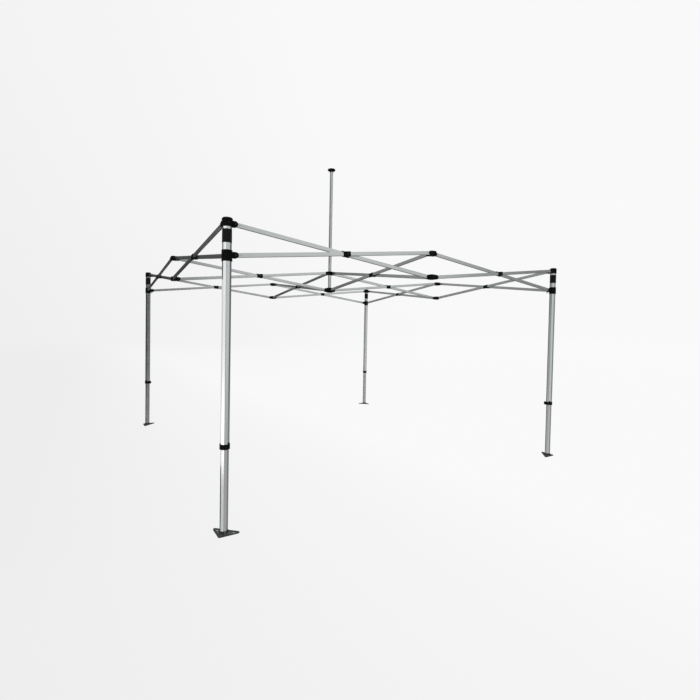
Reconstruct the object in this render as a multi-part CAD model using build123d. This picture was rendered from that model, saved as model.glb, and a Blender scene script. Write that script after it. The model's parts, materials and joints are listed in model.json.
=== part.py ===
"""Pop up canopy frame: the bare folding frame of a 3 m square shelter.

Millimetres, +Z up. The origin is on the ground at the middle of the four legs.
The front side of the frame faces -Y. Everything is built once, for the front
side or the front left corner, and turned about Z in quarter turns.

Four octagonal legs stand at the corners. Every side holds two scissor pairs,
and four inner pairs join the sides to the hubs on the centre pole. A scissor
pair is two equal bars that cross at their middle. One bar of each pair starts
at a fixed upper pivot and the other at a sliding lower pivot, so that pulling
the sliders down folds the whole frame. Seen from outside, the top bar of a
side's left pair lies behind its partner, and that of the right pair in front.
"""

from build123d import *
import os
from math import atan2, cos, degrees, hypot, radians, sin, sqrt

# ---- driving dimensions of the frame ----
LEG_SPACING = 2900.0      # between the axes of neighbouring legs
HIGH_PIVOT = 1640.0       # height of the top bracket, upper connector and upper hub pivots
LOW_PIVOT = 1475.0        # height of the slider, lower connector and lower hub pivots
CORNER_REACH = 42.0       # leg axis to bar pivot, at the brackets and sliders
SIDE_REACH = 28.0         # middle of a side to the pivots of its bars
INNER_REACH = 34.0        # line of a side to the pivot of its inner bar
HUB_REACH = 36.0          # centre of a hub to the pivots of its bars
BAR_PLANE = 9.0           # each bar of a pair lies this far beside the line of the pair

# ---- bars ----
BAR_HIGH = 25.0
BAR_THICK = 13.0
BAR_WALL = 1.3
BAR_ROUND = 3.0           # radius along the four long edges of a bar
TUBE_PAST_PIVOT = 4.0     # tube beyond its end pivot, closed by a plug with a round nose
NOSE_RADIUS = 13.1
PLUG_DEPTH = 34.0         # plug inside the tube
PLUG_GAP = 0.1
RIVET_FROM_PIVOT = 26.0
RIVET_RADIUS = 2.0
RIVET_HEAD = 3.6
RIVET_DOME = 1.0
CUFF_LENGTH = 54.0
CUFF_HIGH = 32.0
CUFF_THICK = 17.0
CUFF_GAP = 0.1
CUFF_CHAMFER = 2.0

# ---- bolts ----
BOLT_RADIUS = 3.0
HOLE_RADIUS = 3.1         # running hole in the part that turns on a bolt
BOLT_FLATS = 10.0
BOLT_HEAD = 4.0
NUT_HIGH = 5.0
BOLT_TIP = 1.0
BOLT_PLAY = 0.4           # between a head or nut and the part that turns under it

# ---- plastic connectors ----
EAR = 4.0                 # thickness of an ear
EAR_ROUND = 16.0          # radius of an ear about its pivot
EAR_PLAY = 0.5            # between a bar and each ear
SLOT_BACK = 14.5          # pivot to the bottom of the slot
CORNER_ARM = 32.0         # length of a bracket's or slider's arm up to its pivot
SIDE_BODY = (43.0, 38.0, 35.0)
SIDE_BODY_ROUND = 5.0
SIDE_BODY_CHAMFER = 1.5
UPPER_HUB_RADIUS = 27.0
UPPER_HUB_HIGH = 34.0
LOWER_HUB_RADIUS = 30.0
LOWER_HUB_HIGH = 46.0
LOWER_HUB_EAR = 19.0
LOWER_HUB_FLOOR = 10.0
HUB_EDGE = 2.5

# ---- centre pole ----
POLE_RADIUS = 15.0
POLE_WALL = 1.6
POLE_PLAY = 0.5           # between the pole and the upper hub
PEAK = 2660.0             # top of the pole cap
CAP_RADIUS = 37.0
CAP_DISC = 13.0
CAP_ROUND = 5.0
CAP_UNDER_ROUND = 3.0
CAP_SKIRT_RADIUS = 19.0
CAP_SKIRT = 14.0
CAP_CROWN = 8.0           # plastic above the end of the pole

# ---- legs ----
LEG_FLATS = 45.0          # outer leg, across flats
LEG_ROUND = 3.0
LEG_INSIDE_ROUND = 2.0
LEG_WALL = 2.0
LEG_BOTTOM = 460.0
LEG_TOP = 1655.0
INNER_FLATS = 40.0
INNER_ROUND = 2.0
INNER_WALL = 1.8
INNER_INSIDE_ROUND = 1.0
INNER_TOP = 1060.0
HEIGHT_HOLE_RADIUS = 4.5
HEIGHT_HOLE_STEP = 75.0
HEIGHT_HOLES_EACH_WAY = 4
HEIGHT_HOLE_START = 2.0   # cutter for a hole starts this far from the leg axis
BAND_FLATS = 47.0         # hook-and-loop band wrapped round the leg
BAND_GAP = 0.1
BAND_ROUND = 4.0
BAND_BOTTOM = 1537.0
BAND_TOP = 1608.0

# ---- top brackets ----
BRACKET_FLATS = 53.0
BRACKET_BOTTOM = 1621.0
BRACKET_TOP = 1668.0
BRACKET_ROUND = 7.0
BRACKET_CHAMFER = 5.0

# ---- sliders ----
SLIDER_FLATS = 52.0
SLIDER_BORE_FLATS = 45.8
SLIDER_BOTTOM = 1441.0
SLIDER_TOP = 1500.0
SLIDER_ROUND = 4.0

# ---- leg collars ----
COLLAR_FLATS = 51.0
COLLAR_ROUND = 5.0
COLLAR_BOTTOM = 454.0
COLLAR_TOP = 481.0
COLLAR_LIP_FLATS = 41.0
HORN_HIGH = 9.0
HORN_WIDE = 14.0
HORN_DEEP = 3.4
HORN_CHAMFER = 4.0
HORN_ANGLES = (135.0, -45.0)
COLLAR_LATCH_HEIGHT = 469.0

# ---- latches: a pin pointing at the leg axis, a finger tab outside ----
LATCH_PIN_RADIUS = 3.5
LATCH_HOLE_RADIUS = 4.0
LATCH_BOSS_OUT = 36.0     # leg axis to the outer face of the boss that guides the pin
LATCH_BOSS_WIDE = 16.0
LATCH_BOSS_ROOT = 2.0     # how far the boss reaches into the wall behind it
LATCH_BOSS_CHAMFER = 3.0
TAB_WIDE = 14.0
TAB_THICK = 4.0
TAB_GAP = 0.5
TAB_ROUND = 4.0
SLIDER_PIN_TIP = 23.2     # leg axis to the tip of a slider's pin
SLIDER_TAB_LONG = 34.0
SLIDER_TAB_TILT = 15.0
TAB_ABOVE_PIN = 4.5
COLLAR_PIN_TIP = 20.6     # leg axis to the tip of a collar's pin
COLLAR_TAB_LONG = 24.0

# ---- foot plates ----
PLATE_CORNER = 38.0       # leg axis to the two outer edges
PLATE_SIDE = 126.0        # length of each outer edge
PLATE_THICK = 6.0
PLATE_ROUND = 9.0
PLATE_RIM = 5.0
PLATE_POCKET = 2.5
STAKE_RADIUS = 6.0
STAKE_ALONG = 48.0        # leg axis to a stake hole, along its edge
STAKE_IN = 20.0           # leg axis line to a stake hole, towards its edge
SOCKET_FLATS = 45.0
SOCKET_TOP = 20.0

HALF = LEG_SPACING / 2
SPAN = HALF - CORNER_REACH - SIDE_REACH
DROP = HIGH_PIVOT - LOW_PIVOT
BAR_LENGTH = hypot(SPAN, DROP)
BAR_TILT = degrees(atan2(DROP, SPAN))
PAIR_MIDDLE = (HIGH_PIVOT + LOW_PIVOT) / 2
EAR_OUTSIDE = BAR_THICK / 2 + EAR_PLAY + EAR

SIDES = ("front", "right", "back", "left")
CORNERS = ("front_left", "front_right", "back_right", "back_left")
# Each side seen from outside: the name of its left half and of its right half.
SIDE_HALVES = (("left", "right"), ("front", "back"), ("right", "left"), ("back", "front"))


def quarter(turns, shape):
    """Turn a shape about the frame's centre line by quarter turns."""
    return Rot(0, 0, 90 * turns) * shape


def at_corner(shape):
    """Move a shape from the leg axis at the origin to the front left corner."""
    return Pos(-HALF, -HALF, 0) * shape


def towards_middle(shape):
    """Turn a shape built along +X from a leg axis to face the middle of the frame."""
    return Rot(0, 0, 45) * shape


def save(name, solids):
    """Write one node, made of one solid or a list of solids."""
    shape = Compound(children=list(solids)) if isinstance(solids, (list, tuple)) else solids
    shape.label = name
    export_step(shape, f"parts/{name}.step")


def octagon(flats, bottom, top, edge):
    """Octagonal prism about Z with round edges, its flats facing the sides and the diagonals."""
    outline = RegularPolygon(flats / 2, 8, major_radius=False, rotation=22.5)
    outline = fillet(outline.vertices(), edge)
    return Pos(0, 0, bottom) * extrude(outline, top - bottom)


def round_y(radius, length):
    """Cylinder along Y, centred."""
    return Rot(90, 0, 0) * Cylinder(radius, length)


def nut_prism(low, high):
    """Hexagonal prism along Y between two values of y."""
    outline = Plane.XZ * RegularPolygon(BOLT_FLATS / 2, 6, major_radius=False)
    return Pos(0, high, 0) * extrude(outline, high - low)


def bolt(half_grip):
    """Bolt along Y that clamps from -half_grip to half_grip, its head at -Y and its nut at +Y."""
    seat = half_grip + BOLT_PLAY
    tip = seat + NUT_HIGH + BOLT_TIP
    shank = Pos(0, (tip - seat) / 2, 0) * round_y(BOLT_RADIUS, tip + seat)
    head = nut_prism(-seat - BOLT_HEAD, -seat)
    nut = nut_prism(seat, seat + NUT_HIGH) - shank
    return [shank + head, nut]


def rivet():
    """Rivet through the walls of a bar, along Y, with a low head on each side."""
    head_middle = BAR_THICK / 2 + RIVET_DOME / 2
    body = round_y(RIVET_RADIUS, BAR_THICK)
    for side in (-1, 1):
        body += Pos(0, side * head_middle, 0) * round_y(RIVET_HEAD, RIVET_DOME)
    return body


def bar_profile(gap=0.0):
    """Outline of a bar in the YZ plane, larger by gap on every side."""
    return Plane.YZ * RectangleRounded(BAR_THICK + 2 * gap, BAR_HIGH + 2 * gap, BAR_ROUND + gap)


def bar(plane, holds_middle_bolt):
    """One bar of a scissor pair, along X, its middle pivot at the origin.

    plane is +1 or -1: the side of the pair's line that the bar lies on. The heads of its bolts
    face away from that line.
    """
    head_out = Rot(0, 0, 180) if plane > 0 else Rot(0, 0, 0)
    end = BAR_LENGTH / 2
    tube = extrude(bar_profile(), end + TUBE_PAST_PIVOT, both=True)
    tube -= extrude(bar_profile(-BAR_WALL), end + TUBE_PAST_PIVOT, both=True)
    cuff = Box(CUFF_LENGTH, CUFF_THICK, CUFF_HIGH)
    cuff = chamfer(cuff.edges().filter_by(Axis.Y, reverse=True), CUFF_CHAMFER)
    cuff -= extrude(bar_profile(CUFF_GAP), CUFF_LENGTH / 2, both=True)
    middle_hole = round_y(BOLT_RADIUS if holds_middle_bolt else HOLE_RADIUS, 2 * CUFF_THICK)
    end_hole = round_y(BOLT_RADIUS, 2 * BAR_THICK)
    rivet_hole = round_y(RIVET_RADIUS, 2 * BAR_THICK)
    tube -= middle_hole
    cuff -= middle_hole
    pieces = []
    for side in (-1, 1):
        pivot = Pos(side * end, 0, 0)
        rivet_place = Pos(side * (end - RIVET_FROM_PIVOT), 0, 0)
        tube -= pivot * end_hole
        tube -= rivet_place * rivet_hole
        plug = extrude(bar_profile(-BAR_WALL - PLUG_GAP), PLUG_DEPTH)
        plug = Pos(side * (end + TUBE_PAST_PIVOT) - (PLUG_DEPTH if side > 0 else 0), 0, 0) * plug
        nose_box = Box(NOSE_RADIUS, BAR_THICK, BAR_HIGH)
        nose_box = Pos(side * (TUBE_PAST_PIVOT + NOSE_RADIUS / 2), 0, 0) * nose_box
        nose = round_y(NOSE_RADIUS, BAR_THICK) & nose_box
        plug = plug + pivot * nose - pivot * end_hole - rivet_place * rivet_hole
        pieces.append(plug)
        pieces += [pivot * head_out * piece for piece in bolt(EAR_OUTSIDE)]
        pieces.append(rivet_place * rivet())
    if holds_middle_bolt:
        pair_line = Pos(0, -plane * BAR_PLANE, 0)
        pieces += [pair_line * head_out * piece for piece in bolt(BAR_PLANE + CUFF_THICK / 2)]
    return [tube, cuff] + pieces


def arm(reach, root, ear_radius=EAR_ROUND):
    """Arm along +X about the plane y = 0, from x = root, rounded about its pivot at x = reach."""
    block = Pos((root + reach) / 2, 0, 0) * Box(reach - root, 2 * EAR_OUTSIDE, 2 * ear_radius)
    return block + Pos(reach, 0, 0) * round_y(ear_radius, 2 * EAR_OUTSIDE)


def arm_slot(reach, ear_radius=EAR_ROUND):
    """Cutter that leaves two ears on an arm, with the hole for the pivot bolt."""
    slot_long = SLOT_BACK + 2 * ear_radius
    slot = Box(slot_long, BAR_THICK + 2 * EAR_PLAY, 4 * ear_radius)
    slot = Pos(reach - SLOT_BACK + slot_long / 2, 0, 0) * slot
    return slot + Pos(reach, 0, 0) * round_y(HOLE_RADIUS, 3 * EAR_OUTSIDE)


def side_connector(plane):
    """Connector at the middle of a side, built at the origin with +Y inwards.

    plane is the y of the side bar at -X and the x of the inner bar; the side bar at +X lies at -plane.
    """
    body = Box(*SIDE_BODY)
    body = fillet(body.edges().filter_by(Axis.Z), SIDE_BODY_ROUND)
    ends = body.edges().group_by(Axis.Z)
    body = chamfer(ends[0] + ends[-1], SIDE_BODY_CHAMFER)
    places = (
        (Pos(0, plane, 0) * Rot(0, 0, 180), SIDE_REACH),
        (Pos(0, -plane, 0), SIDE_REACH),
        (Pos(plane, 0, 0) * Rot(0, 0, 90), INNER_REACH),
    )
    for place, reach in places:
        body += place * arm(reach, 0)
    for place, reach in places:
        body -= place * arm_slot(reach)
    return body


def hub(plane, radius, high, ear_radius):
    """Hub with four pairs of ears; plane is the x of the ears that face the front side."""
    body = Cylinder(radius, high)
    body = chamfer(body.edges().filter_by(GeomType.CIRCLE), HUB_EDGE)
    places = [Rot(0, 0, 90 * turns - 90) * Pos(0, plane, 0) for turns in range(4)]
    for place in places:
        body += place * arm(HUB_REACH, 0, ear_radius)
    for place in places:
        body -= place * arm_slot(HUB_REACH, ear_radius)
    return body


def upper_hub():
    """Upper hub, which slides on the centre pole."""
    body = hub(BAR_PLANE, UPPER_HUB_RADIUS, UPPER_HUB_HIGH, EAR_ROUND)
    return Pos(0, 0, HIGH_PIVOT) * (body - Cylinder(POLE_RADIUS + POLE_PLAY, 3 * UPPER_HUB_HIGH))


def pole_foot():
    """Height of the lower end of the pole, on the floor of the lower hub's socket."""
    return LOW_PIVOT - LOWER_HUB_HIGH / 2 + LOWER_HUB_FLOOR


def lower_hub():
    """Lower hub, with the socket that holds the foot of the centre pole."""
    body = Pos(0, 0, LOW_PIVOT) * hub(-BAR_PLANE, LOWER_HUB_RADIUS, LOWER_HUB_HIGH, LOWER_HUB_EAR)
    return body - Pos(0, 0, pole_foot() + LOWER_HUB_HIGH) * Cylinder(POLE_RADIUS, 2 * LOWER_HUB_HIGH)


def centre_pole():
    """Round tube from the lower hub to the cap."""
    length = PEAK - CAP_CROWN - pole_foot()
    tube = Cylinder(POLE_RADIUS, length) - Cylinder(POLE_RADIUS - POLE_WALL, length)
    return Pos(0, 0, pole_foot() + length / 2) * tube


def pole_cap():
    """Round cap that the cover of the canopy rests on."""
    disc = Pos(0, 0, PEAK - CAP_DISC / 2) * Cylinder(CAP_RADIUS, CAP_DISC)
    rims = disc.edges().filter_by(GeomType.CIRCLE).sort_by(Axis.Z)
    disc = fillet(rims[-1], CAP_ROUND)
    rims = disc.edges().filter_by(GeomType.CIRCLE).sort_by(Axis.Z)
    disc = fillet(rims[0], CAP_UNDER_ROUND)
    skirt_bottom = PEAK - CAP_DISC - CAP_SKIRT
    skirt = Pos(0, 0, skirt_bottom + CAP_SKIRT / 2) * Cylinder(CAP_SKIRT_RADIUS, CAP_SKIRT)
    socket_high = CAP_SKIRT + CAP_DISC - CAP_CROWN
    return disc + skirt - Pos(0, 0, skirt_bottom + socket_high / 2) * Cylinder(POLE_RADIUS, socket_high)


def outer_leg():
    """Outer leg tube with its latch hole, the band near its top and the collar at its foot."""
    tube = octagon(LEG_FLATS, LEG_BOTTOM, LEG_TOP, LEG_ROUND)
    tube -= octagon(LEG_FLATS - 2 * LEG_WALL, LEG_BOTTOM, LEG_TOP, LEG_INSIDE_ROUND)
    tube -= towards_middle(latch_hole(COLLAR_LATCH_HEIGHT))
    band = octagon(BAND_FLATS, BAND_BOTTOM, BAND_TOP, BAND_ROUND)
    band -= octagon(LEG_FLATS + 2 * BAND_GAP, BAND_BOTTOM, BAND_TOP, LEG_ROUND)
    return [tube, collar(), band]


def latch_hole(height):
    """Cutter along +X from the leg axis for the pin of a latch."""
    return Pos(LATCH_BOSS_OUT, 0, height) * Rot(0, 90, 0) * Cylinder(LATCH_HOLE_RADIUS, 2 * LATCH_BOSS_OUT)


def boss(flats, bottom, top):
    """Block on the inward face of a slider or collar that guides the pin of a latch."""
    long = LATCH_BOSS_OUT - flats / 2 + LATCH_BOSS_ROOT
    block = Pos(LATCH_BOSS_OUT - long / 2, 0, (bottom + top) / 2) * Box(long, LATCH_BOSS_WIDE, top - bottom)
    return chamfer(block.edges().filter_by(Axis.Z).group_by(Axis.X)[-1], LATCH_BOSS_CHAMFER)


def collar():
    """Collar at the foot of the outer leg: an inner lip guides the inner leg."""
    body = octagon(COLLAR_FLATS, COLLAR_BOTTOM, COLLAR_TOP, COLLAR_ROUND)
    body += towards_middle(boss(COLLAR_FLATS, COLLAR_BOTTOM, COLLAR_TOP))
    horn_out = COLLAR_FLATS / 2 - HORN_DEEP / 2
    horn_box = Box(HORN_DEEP, HORN_WIDE, HORN_HIGH)
    horn = Pos(horn_out, 0, COLLAR_TOP + HORN_HIGH / 2) * chamfer(
        horn_box.edges().filter_by(Axis.X).group_by(Axis.Z)[-1], HORN_CHAMFER)
    for angle in HORN_ANGLES:
        body += Rot(0, 0, angle) * horn
    body -= octagon(LEG_FLATS, LEG_BOTTOM, COLLAR_TOP + 2 * HORN_HIGH, LEG_ROUND)
    body -= octagon(COLLAR_LIP_FLATS, COLLAR_BOTTOM, LEG_BOTTOM, INNER_ROUND)
    return body - towards_middle(latch_hole(COLLAR_LATCH_HEIGHT))


def latch(tip, height, tab_long, tilt, above_pin):
    """Latch built along +X from a leg axis: a pin and a finger tab, one moving piece."""
    tab_inside = TAB_THICK / 2 * cos(radians(tilt)) + above_pin * sin(radians(tilt))
    pin_end = LATCH_BOSS_OUT + TAB_GAP + tab_inside
    pin = Pos((tip + pin_end) / 2, 0, height) * Rot(0, 90, 0) * Cylinder(LATCH_PIN_RADIUS, pin_end - tip)
    plate = Box(TAB_THICK, TAB_WIDE, tab_long)
    plate = fillet(plate.edges().filter_by(Axis.X), TAB_ROUND)
    plate = Pos(0, 0, above_pin - tab_long / 2) * plate
    return pin + Pos(pin_end, 0, height) * Rot(0, -tilt, 0) * plate


def slider_latch():
    """Latch of a slider, with a tab that hangs below it and stands away from the leg."""
    return towards_middle(latch(SLIDER_PIN_TIP, LOW_PIVOT, SLIDER_TAB_LONG, SLIDER_TAB_TILT, TAB_ABOVE_PIN))


def collar_latch():
    """Latch of a leg collar, with a short upright tab."""
    return towards_middle(latch(COLLAR_PIN_TIP, COLLAR_LATCH_HEIGHT, COLLAR_TAB_LONG, 0, COLLAR_TAB_LONG / 2))


def with_corner_arms(body, plane, height):
    """Add the two arms that reach along the sides from a leg axis, one at y = plane, one at x = -plane."""
    for place in (Pos(0, plane, height), Pos(-plane, 0, height) * Rot(0, 0, 90)):
        body += place * arm(CORNER_REACH, CORNER_REACH - CORNER_ARM)
        body -= place * arm_slot(CORNER_REACH)
    return body


def top_bracket():
    """Cap on the top of a leg that holds the upper ends of two side bars."""
    body = octagon(BRACKET_FLATS, BRACKET_BOTTOM, BRACKET_TOP, BRACKET_ROUND)
    body = chamfer(body.faces().sort_by(Axis.Z)[-1].edges(), BRACKET_CHAMFER)
    body = with_corner_arms(body, BAR_PLANE, HIGH_PIVOT)
    return body - octagon(LEG_FLATS, BRACKET_BOTTOM, LEG_TOP, LEG_ROUND)


def slider():
    """Slider that runs on a leg and holds the lower ends of two side bars."""
    body = octagon(SLIDER_FLATS, SLIDER_BOTTOM, SLIDER_TOP, SLIDER_ROUND)
    body += towards_middle(boss(SLIDER_FLATS, LOW_PIVOT - EAR_ROUND, LOW_PIVOT + EAR_ROUND))
    body = with_corner_arms(body, -BAR_PLANE, LOW_PIVOT)
    body -= octagon(SLIDER_BORE_FLATS, SLIDER_BOTTOM, SLIDER_TOP, LEG_ROUND)
    return body - towards_middle(latch_hole(LOW_PIVOT))


def plate_outline(inset):
    """Right triangle with round corners, its outer edges moved in by inset."""
    near = -PLATE_CORNER + inset
    far = near + PLATE_SIDE - inset * (2 + sqrt(2))
    outline = make_face(Polyline((near, near), (far, near), (near, far), close=True))
    return fillet(outline.vertices(), PLATE_ROUND - inset)


def inner_leg():
    """Inner leg tube with its row of height holes, and the foot plate under it."""
    tube = octagon(INNER_FLATS, PLATE_THICK, INNER_TOP, INNER_ROUND)
    tube -= octagon(INNER_FLATS - 2 * INNER_WALL, PLATE_THICK, INNER_TOP, INNER_INSIDE_ROUND)
    for step in range(-HEIGHT_HOLES_EACH_WAY, HEIGHT_HOLES_EACH_WAY + 1):
        height = COLLAR_LATCH_HEIGHT + step * HEIGHT_HOLE_STEP
        hole = Rot(0, 90, 0) * Cylinder(HEIGHT_HOLE_RADIUS, INNER_FLATS)
        tube -= towards_middle(Pos(HEIGHT_HOLE_START + INNER_FLATS / 2, 0, height) * hole)
    plate = extrude(plate_outline(0), PLATE_THICK)
    plate -= Pos(0, 0, PLATE_THICK - PLATE_POCKET) * extrude(plate_outline(PLATE_RIM), PLATE_POCKET)
    plate += octagon(SOCKET_FLATS, 0, SOCKET_TOP, LEG_ROUND)
    plate -= octagon(INNER_FLATS, PLATE_THICK, SOCKET_TOP, INNER_ROUND)
    for x, y in ((STAKE_ALONG, -STAKE_IN), (-STAKE_IN, STAKE_ALONG)):
        plate -= Pos(x, y, 0) * Cylinder(STAKE_RADIUS, 4 * PLATE_THICK)
    return [tube, plate]


def build_side(turns):
    """Bars and connectors of one side, and the inner pair that meets it."""
    side = SIDES[turns]
    middle = (CORNER_REACH - SIDE_REACH - HALF) / 2
    for half, sign in zip(SIDE_HALVES[turns], (1, -1)):
        top_bar = Pos(sign * middle, -HALF + sign * BAR_PLANE, PAIR_MIDDLE) * Rot(0, sign * BAR_TILT, 0)
        low_bar = Pos(sign * middle, -HALF - sign * BAR_PLANE, PAIR_MIDDLE) * Rot(0, -sign * BAR_TILT, 0)
        save(f"{side}_side_{half}_top_bar", [quarter(turns, top_bar * piece) for piece in TOP_BARS[sign]])
        save(f"{side}_side_{half}_slider_bar", [quarter(turns, low_bar * piece) for piece in LOW_BARS[-sign]])
    high = Pos(0, -HALF, HIGH_PIVOT) * side_connector(-BAR_PLANE)
    low = Pos(0, -HALF, LOW_PIVOT) * side_connector(BAR_PLANE)
    save(f"{side}_upper_connector", quarter(turns, high))
    save(f"{side}_lower_connector", quarter(turns, low))
    inner_middle = (INNER_REACH - HUB_REACH - HALF) / 2
    lie_inwards = Rot(0, 0, -90)
    upper = Pos(BAR_PLANE, inner_middle, PAIR_MIDDLE) * lie_inwards * Rot(0, BAR_TILT, 0)
    lower = Pos(-BAR_PLANE, inner_middle, PAIR_MIDDLE) * lie_inwards * Rot(0, -BAR_TILT, 0)
    save(f"{side}_inner_upper_bar", [quarter(turns, upper * piece) for piece in TOP_BARS[1]])
    save(f"{side}_inner_lower_bar", [quarter(turns, lower * piece) for piece in LOW_BARS[-1]])


def build_corner(turns):
    """Leg, bracket, slider and latches of one corner."""
    for name, pieces in CORNER_NODES.items():
        save(f"{CORNERS[turns]}_{name}", [quarter(turns, at_corner(piece)) for piece in pieces])


TOP_BARS = {plane: bar(plane, holds_middle_bolt=True) for plane in (1, -1)}
LOW_BARS = {plane: bar(plane, holds_middle_bolt=False) for plane in (1, -1)}
CORNER_NODES = {
    "outer_leg": outer_leg(),
    "inner_leg": inner_leg(),
    "top_bracket": [top_bracket()],
    "slider": [slider()],
    "slider_latch": [slider_latch()],
    "collar_latch": [collar_latch()],
}

os.makedirs("parts", exist_ok=True)
for quarter_turns in range(4):
    build_side(quarter_turns)
    build_corner(quarter_turns)
save("upper_hub", upper_hub())
save("lower_hub", lower_hub())
save("centre_pole", centre_pole())
save("pole_cap", pole_cap())
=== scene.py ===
"""Looks of the pop up canopy frame: materials, small moulded and sewn pieces, light and camera.

Metres, +Z up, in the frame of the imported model. What repeats is built once, for the front left
corner or the front side, and turned about Z in quarter turns.
"""

import json
import random
from math import cos, hypot, pi, radians, sin, sqrt

import bmesh
import bpy
from mathutils import Matrix, Vector

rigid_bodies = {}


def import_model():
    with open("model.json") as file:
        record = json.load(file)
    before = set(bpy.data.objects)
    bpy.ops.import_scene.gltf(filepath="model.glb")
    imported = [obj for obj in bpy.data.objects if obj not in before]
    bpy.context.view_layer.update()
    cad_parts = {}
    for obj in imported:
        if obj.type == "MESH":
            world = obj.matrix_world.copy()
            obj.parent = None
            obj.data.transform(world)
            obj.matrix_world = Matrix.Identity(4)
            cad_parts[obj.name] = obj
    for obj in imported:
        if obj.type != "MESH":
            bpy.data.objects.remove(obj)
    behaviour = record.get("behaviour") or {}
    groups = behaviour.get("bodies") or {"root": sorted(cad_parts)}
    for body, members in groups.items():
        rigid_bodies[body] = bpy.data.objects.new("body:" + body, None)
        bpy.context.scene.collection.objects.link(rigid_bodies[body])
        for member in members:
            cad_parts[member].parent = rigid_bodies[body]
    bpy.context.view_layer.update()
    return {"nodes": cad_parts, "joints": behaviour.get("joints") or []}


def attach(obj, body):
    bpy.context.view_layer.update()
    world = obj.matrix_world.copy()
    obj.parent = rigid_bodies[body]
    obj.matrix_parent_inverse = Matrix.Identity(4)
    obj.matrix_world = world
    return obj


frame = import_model()
random.seed(7)

# ---- places in the frame ----
HALF = 1.450              # middle of the frame to a side's line
HIGH_PIVOT = 1.640
LOW_PIVOT = 1.475
CORNERS = ("front_left", "front_right", "back_right", "back_left")
SIDES = ("front", "right", "back", "left")

# ---- bars, for telling their pieces apart ----
BAR_THICK = 0.013
BAR_HIGH = 0.025
CUFF_LENGTH = 0.054
CUFF_THICK = 0.017
TUBE_PAST_PIVOT = 0.004
RIVET_FROM_PIVOT = 0.026
RIVET_HEAD = 0.0036
BOLT_REACH = 0.0060       # no point of a bolt's head or nut is further from its axis
SKIN = 0.00005            # slack when a face is matched to a surface

# ---- legs ----
LEG_FLATS = 0.045
INNER_FLATS = 0.040
LEG_BOTTOM = 0.460
BAND_FLATS = 0.047
BAND_BOTTOM = 1.537
BAND_TOP = 1.608
COLLAR_TOP = 0.490
PLATE_TOP = 0.006
PLATE_POCKET_TOP = 0.0035
SOCKET_TOP = 0.020
LATCH_BOSS_OUT = 0.036

# ---- camera and light ----
CAMERA_PLACE = Vector((-2.1122, -3.6903, 1.1056))
CAMERA_YAW = 57.343
CAMERA_PITCH = -1.538
CAMERA_ROLL = 1.10
CAMERA_LENS = 21.985
CAMERA_SHIFT = -0.0151    # keeps the upright legs nearly parallel in the picture
# Soft panels round the studio as the metal reflects them, level with the frame and low down: compass
# angle of the middle, half width and fade at each end (degrees), and brightness.
PANELS = (
    (300.0, 16.0, 5.0, 0.80),
    (238.0, 12.0, 8.0, 0.72),
    (141.0, 12.0, 12.0, 0.42),
    (331.0, 8.0, 8.0, 0.28),
    (0.0, 20.0, 12.0, 0.20),
)
LOW_PANELS = (
    (206.0, 12.0, 6.0, 1.10),
    (290.0, 10.0, 8.0, 0.58),
    (238.0, 10.0, 8.0, 0.75),
    (148.0, 10.0, 10.0, 0.60),
    (328.0, 12.0, 10.0, 0.38),
    (16.0, 14.0, 10.0, 0.30),
)

# ---- places for the small pieces, from the sizes of the CAD parts ----
CORNER_REACH = 0.042      # leg axis to bar pivot
SIDE_REACH = 0.028        # middle of a side to the pivots of its bars
INNER_REACH = 0.034       # line of a side to the pivot of its inner bar
HUB_REACH = 0.036         # centre pole to the pivot of an inner bar
BAR_PLANE = 0.009         # a bar lies this far beside the line of its pair
EAR_OUTSIDE = 0.011       # plane of a bar to the outer face of an ear
BRACKET_FLATS = 0.053
BRACKET_TOP = 1.668
SLIDER_FLATS = 0.052
SLIDER_MIDDLE = 1.4725
COLLAR_FLATS = 0.051
COLLAR_MIDDLE = 0.4675
SOCKET_FLATS = 0.045
SIDE_BODY_HIGH = 0.035
UPPER_HUB_HIGH = 0.034
LOWER_HUB_HIGH = 0.046
POLE_RADIUS = 0.015
CAP_UNDERSIDE = 2.647
CAP_SKIRT_RADIUS = 0.019
SLIDER_TAB_PLACE = 0.039597   # leg axis to the middle of the tilted tab, at the height of the pin
SLIDER_TAB_TILT = 15.0
COLLAR_TAB_PLACE = 0.0385
COLLAR_LATCH_HEIGHT = 0.469
TAB_HALF_THICK = 0.002
SUNK = 0.0003             # how far a small piece reaches into the part it sits on

# ---- sizes of the small pieces ----
EDGE_ROUND = 0.0004       # rounding of the hard edges of a CAD part
RING_INSIDE = 0.0072      # ring round a bolt
RING_OUTSIDE = 0.0094
FLAP_HALF_HIGH = 0.0335   # loose end of the band
FLAP_END_ROUND = 0.014
FLAP_OUTSIDE = BAND_FLATS + 0.0018
BRACKET_BEADS = ((0.0085, 0.0022), (0.0440, 0.0026))    # below the top, and width
SLIDER_BEADS = (0.0245, -0.0295)
SLIDER_RIBS_HEIGHT = 1.470
COLLAR_BEADS = (-0.0105, 0.0105)
SOCKET_SCREW_HEIGHT = 0.0130
TAB_RIB_PITCH = 0.0036
SLIDER_TAB_FIRST_RIB = -0.0255
COLLAR_TAB_FIRST_RIB = -0.0072
CUFF_RIBS = (-0.0215, -0.0180, -0.0145, 0.0145, 0.0180, 0.0215)
BUTTON_HEIGHT = 1.520
BUTTON_RADIUS = 0.0042
BUTTON_RISE = 0.0028
GUSSET_REACH = 0.0295
GUSSET_DEPTH = 0.0110

# ---- directions ----
X_AXIS = Vector((1.0, 0.0, 0.0))
Y_AXIS = Vector((0.0, 1.0, 0.0))
Z_AXIS = Vector((0.0, 0.0, 1.0))
INWARDS = Vector((sqrt(0.5), sqrt(0.5), 0.0))    # from a leg towards the middle of the frame


# ======================= node trees =======================

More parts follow.
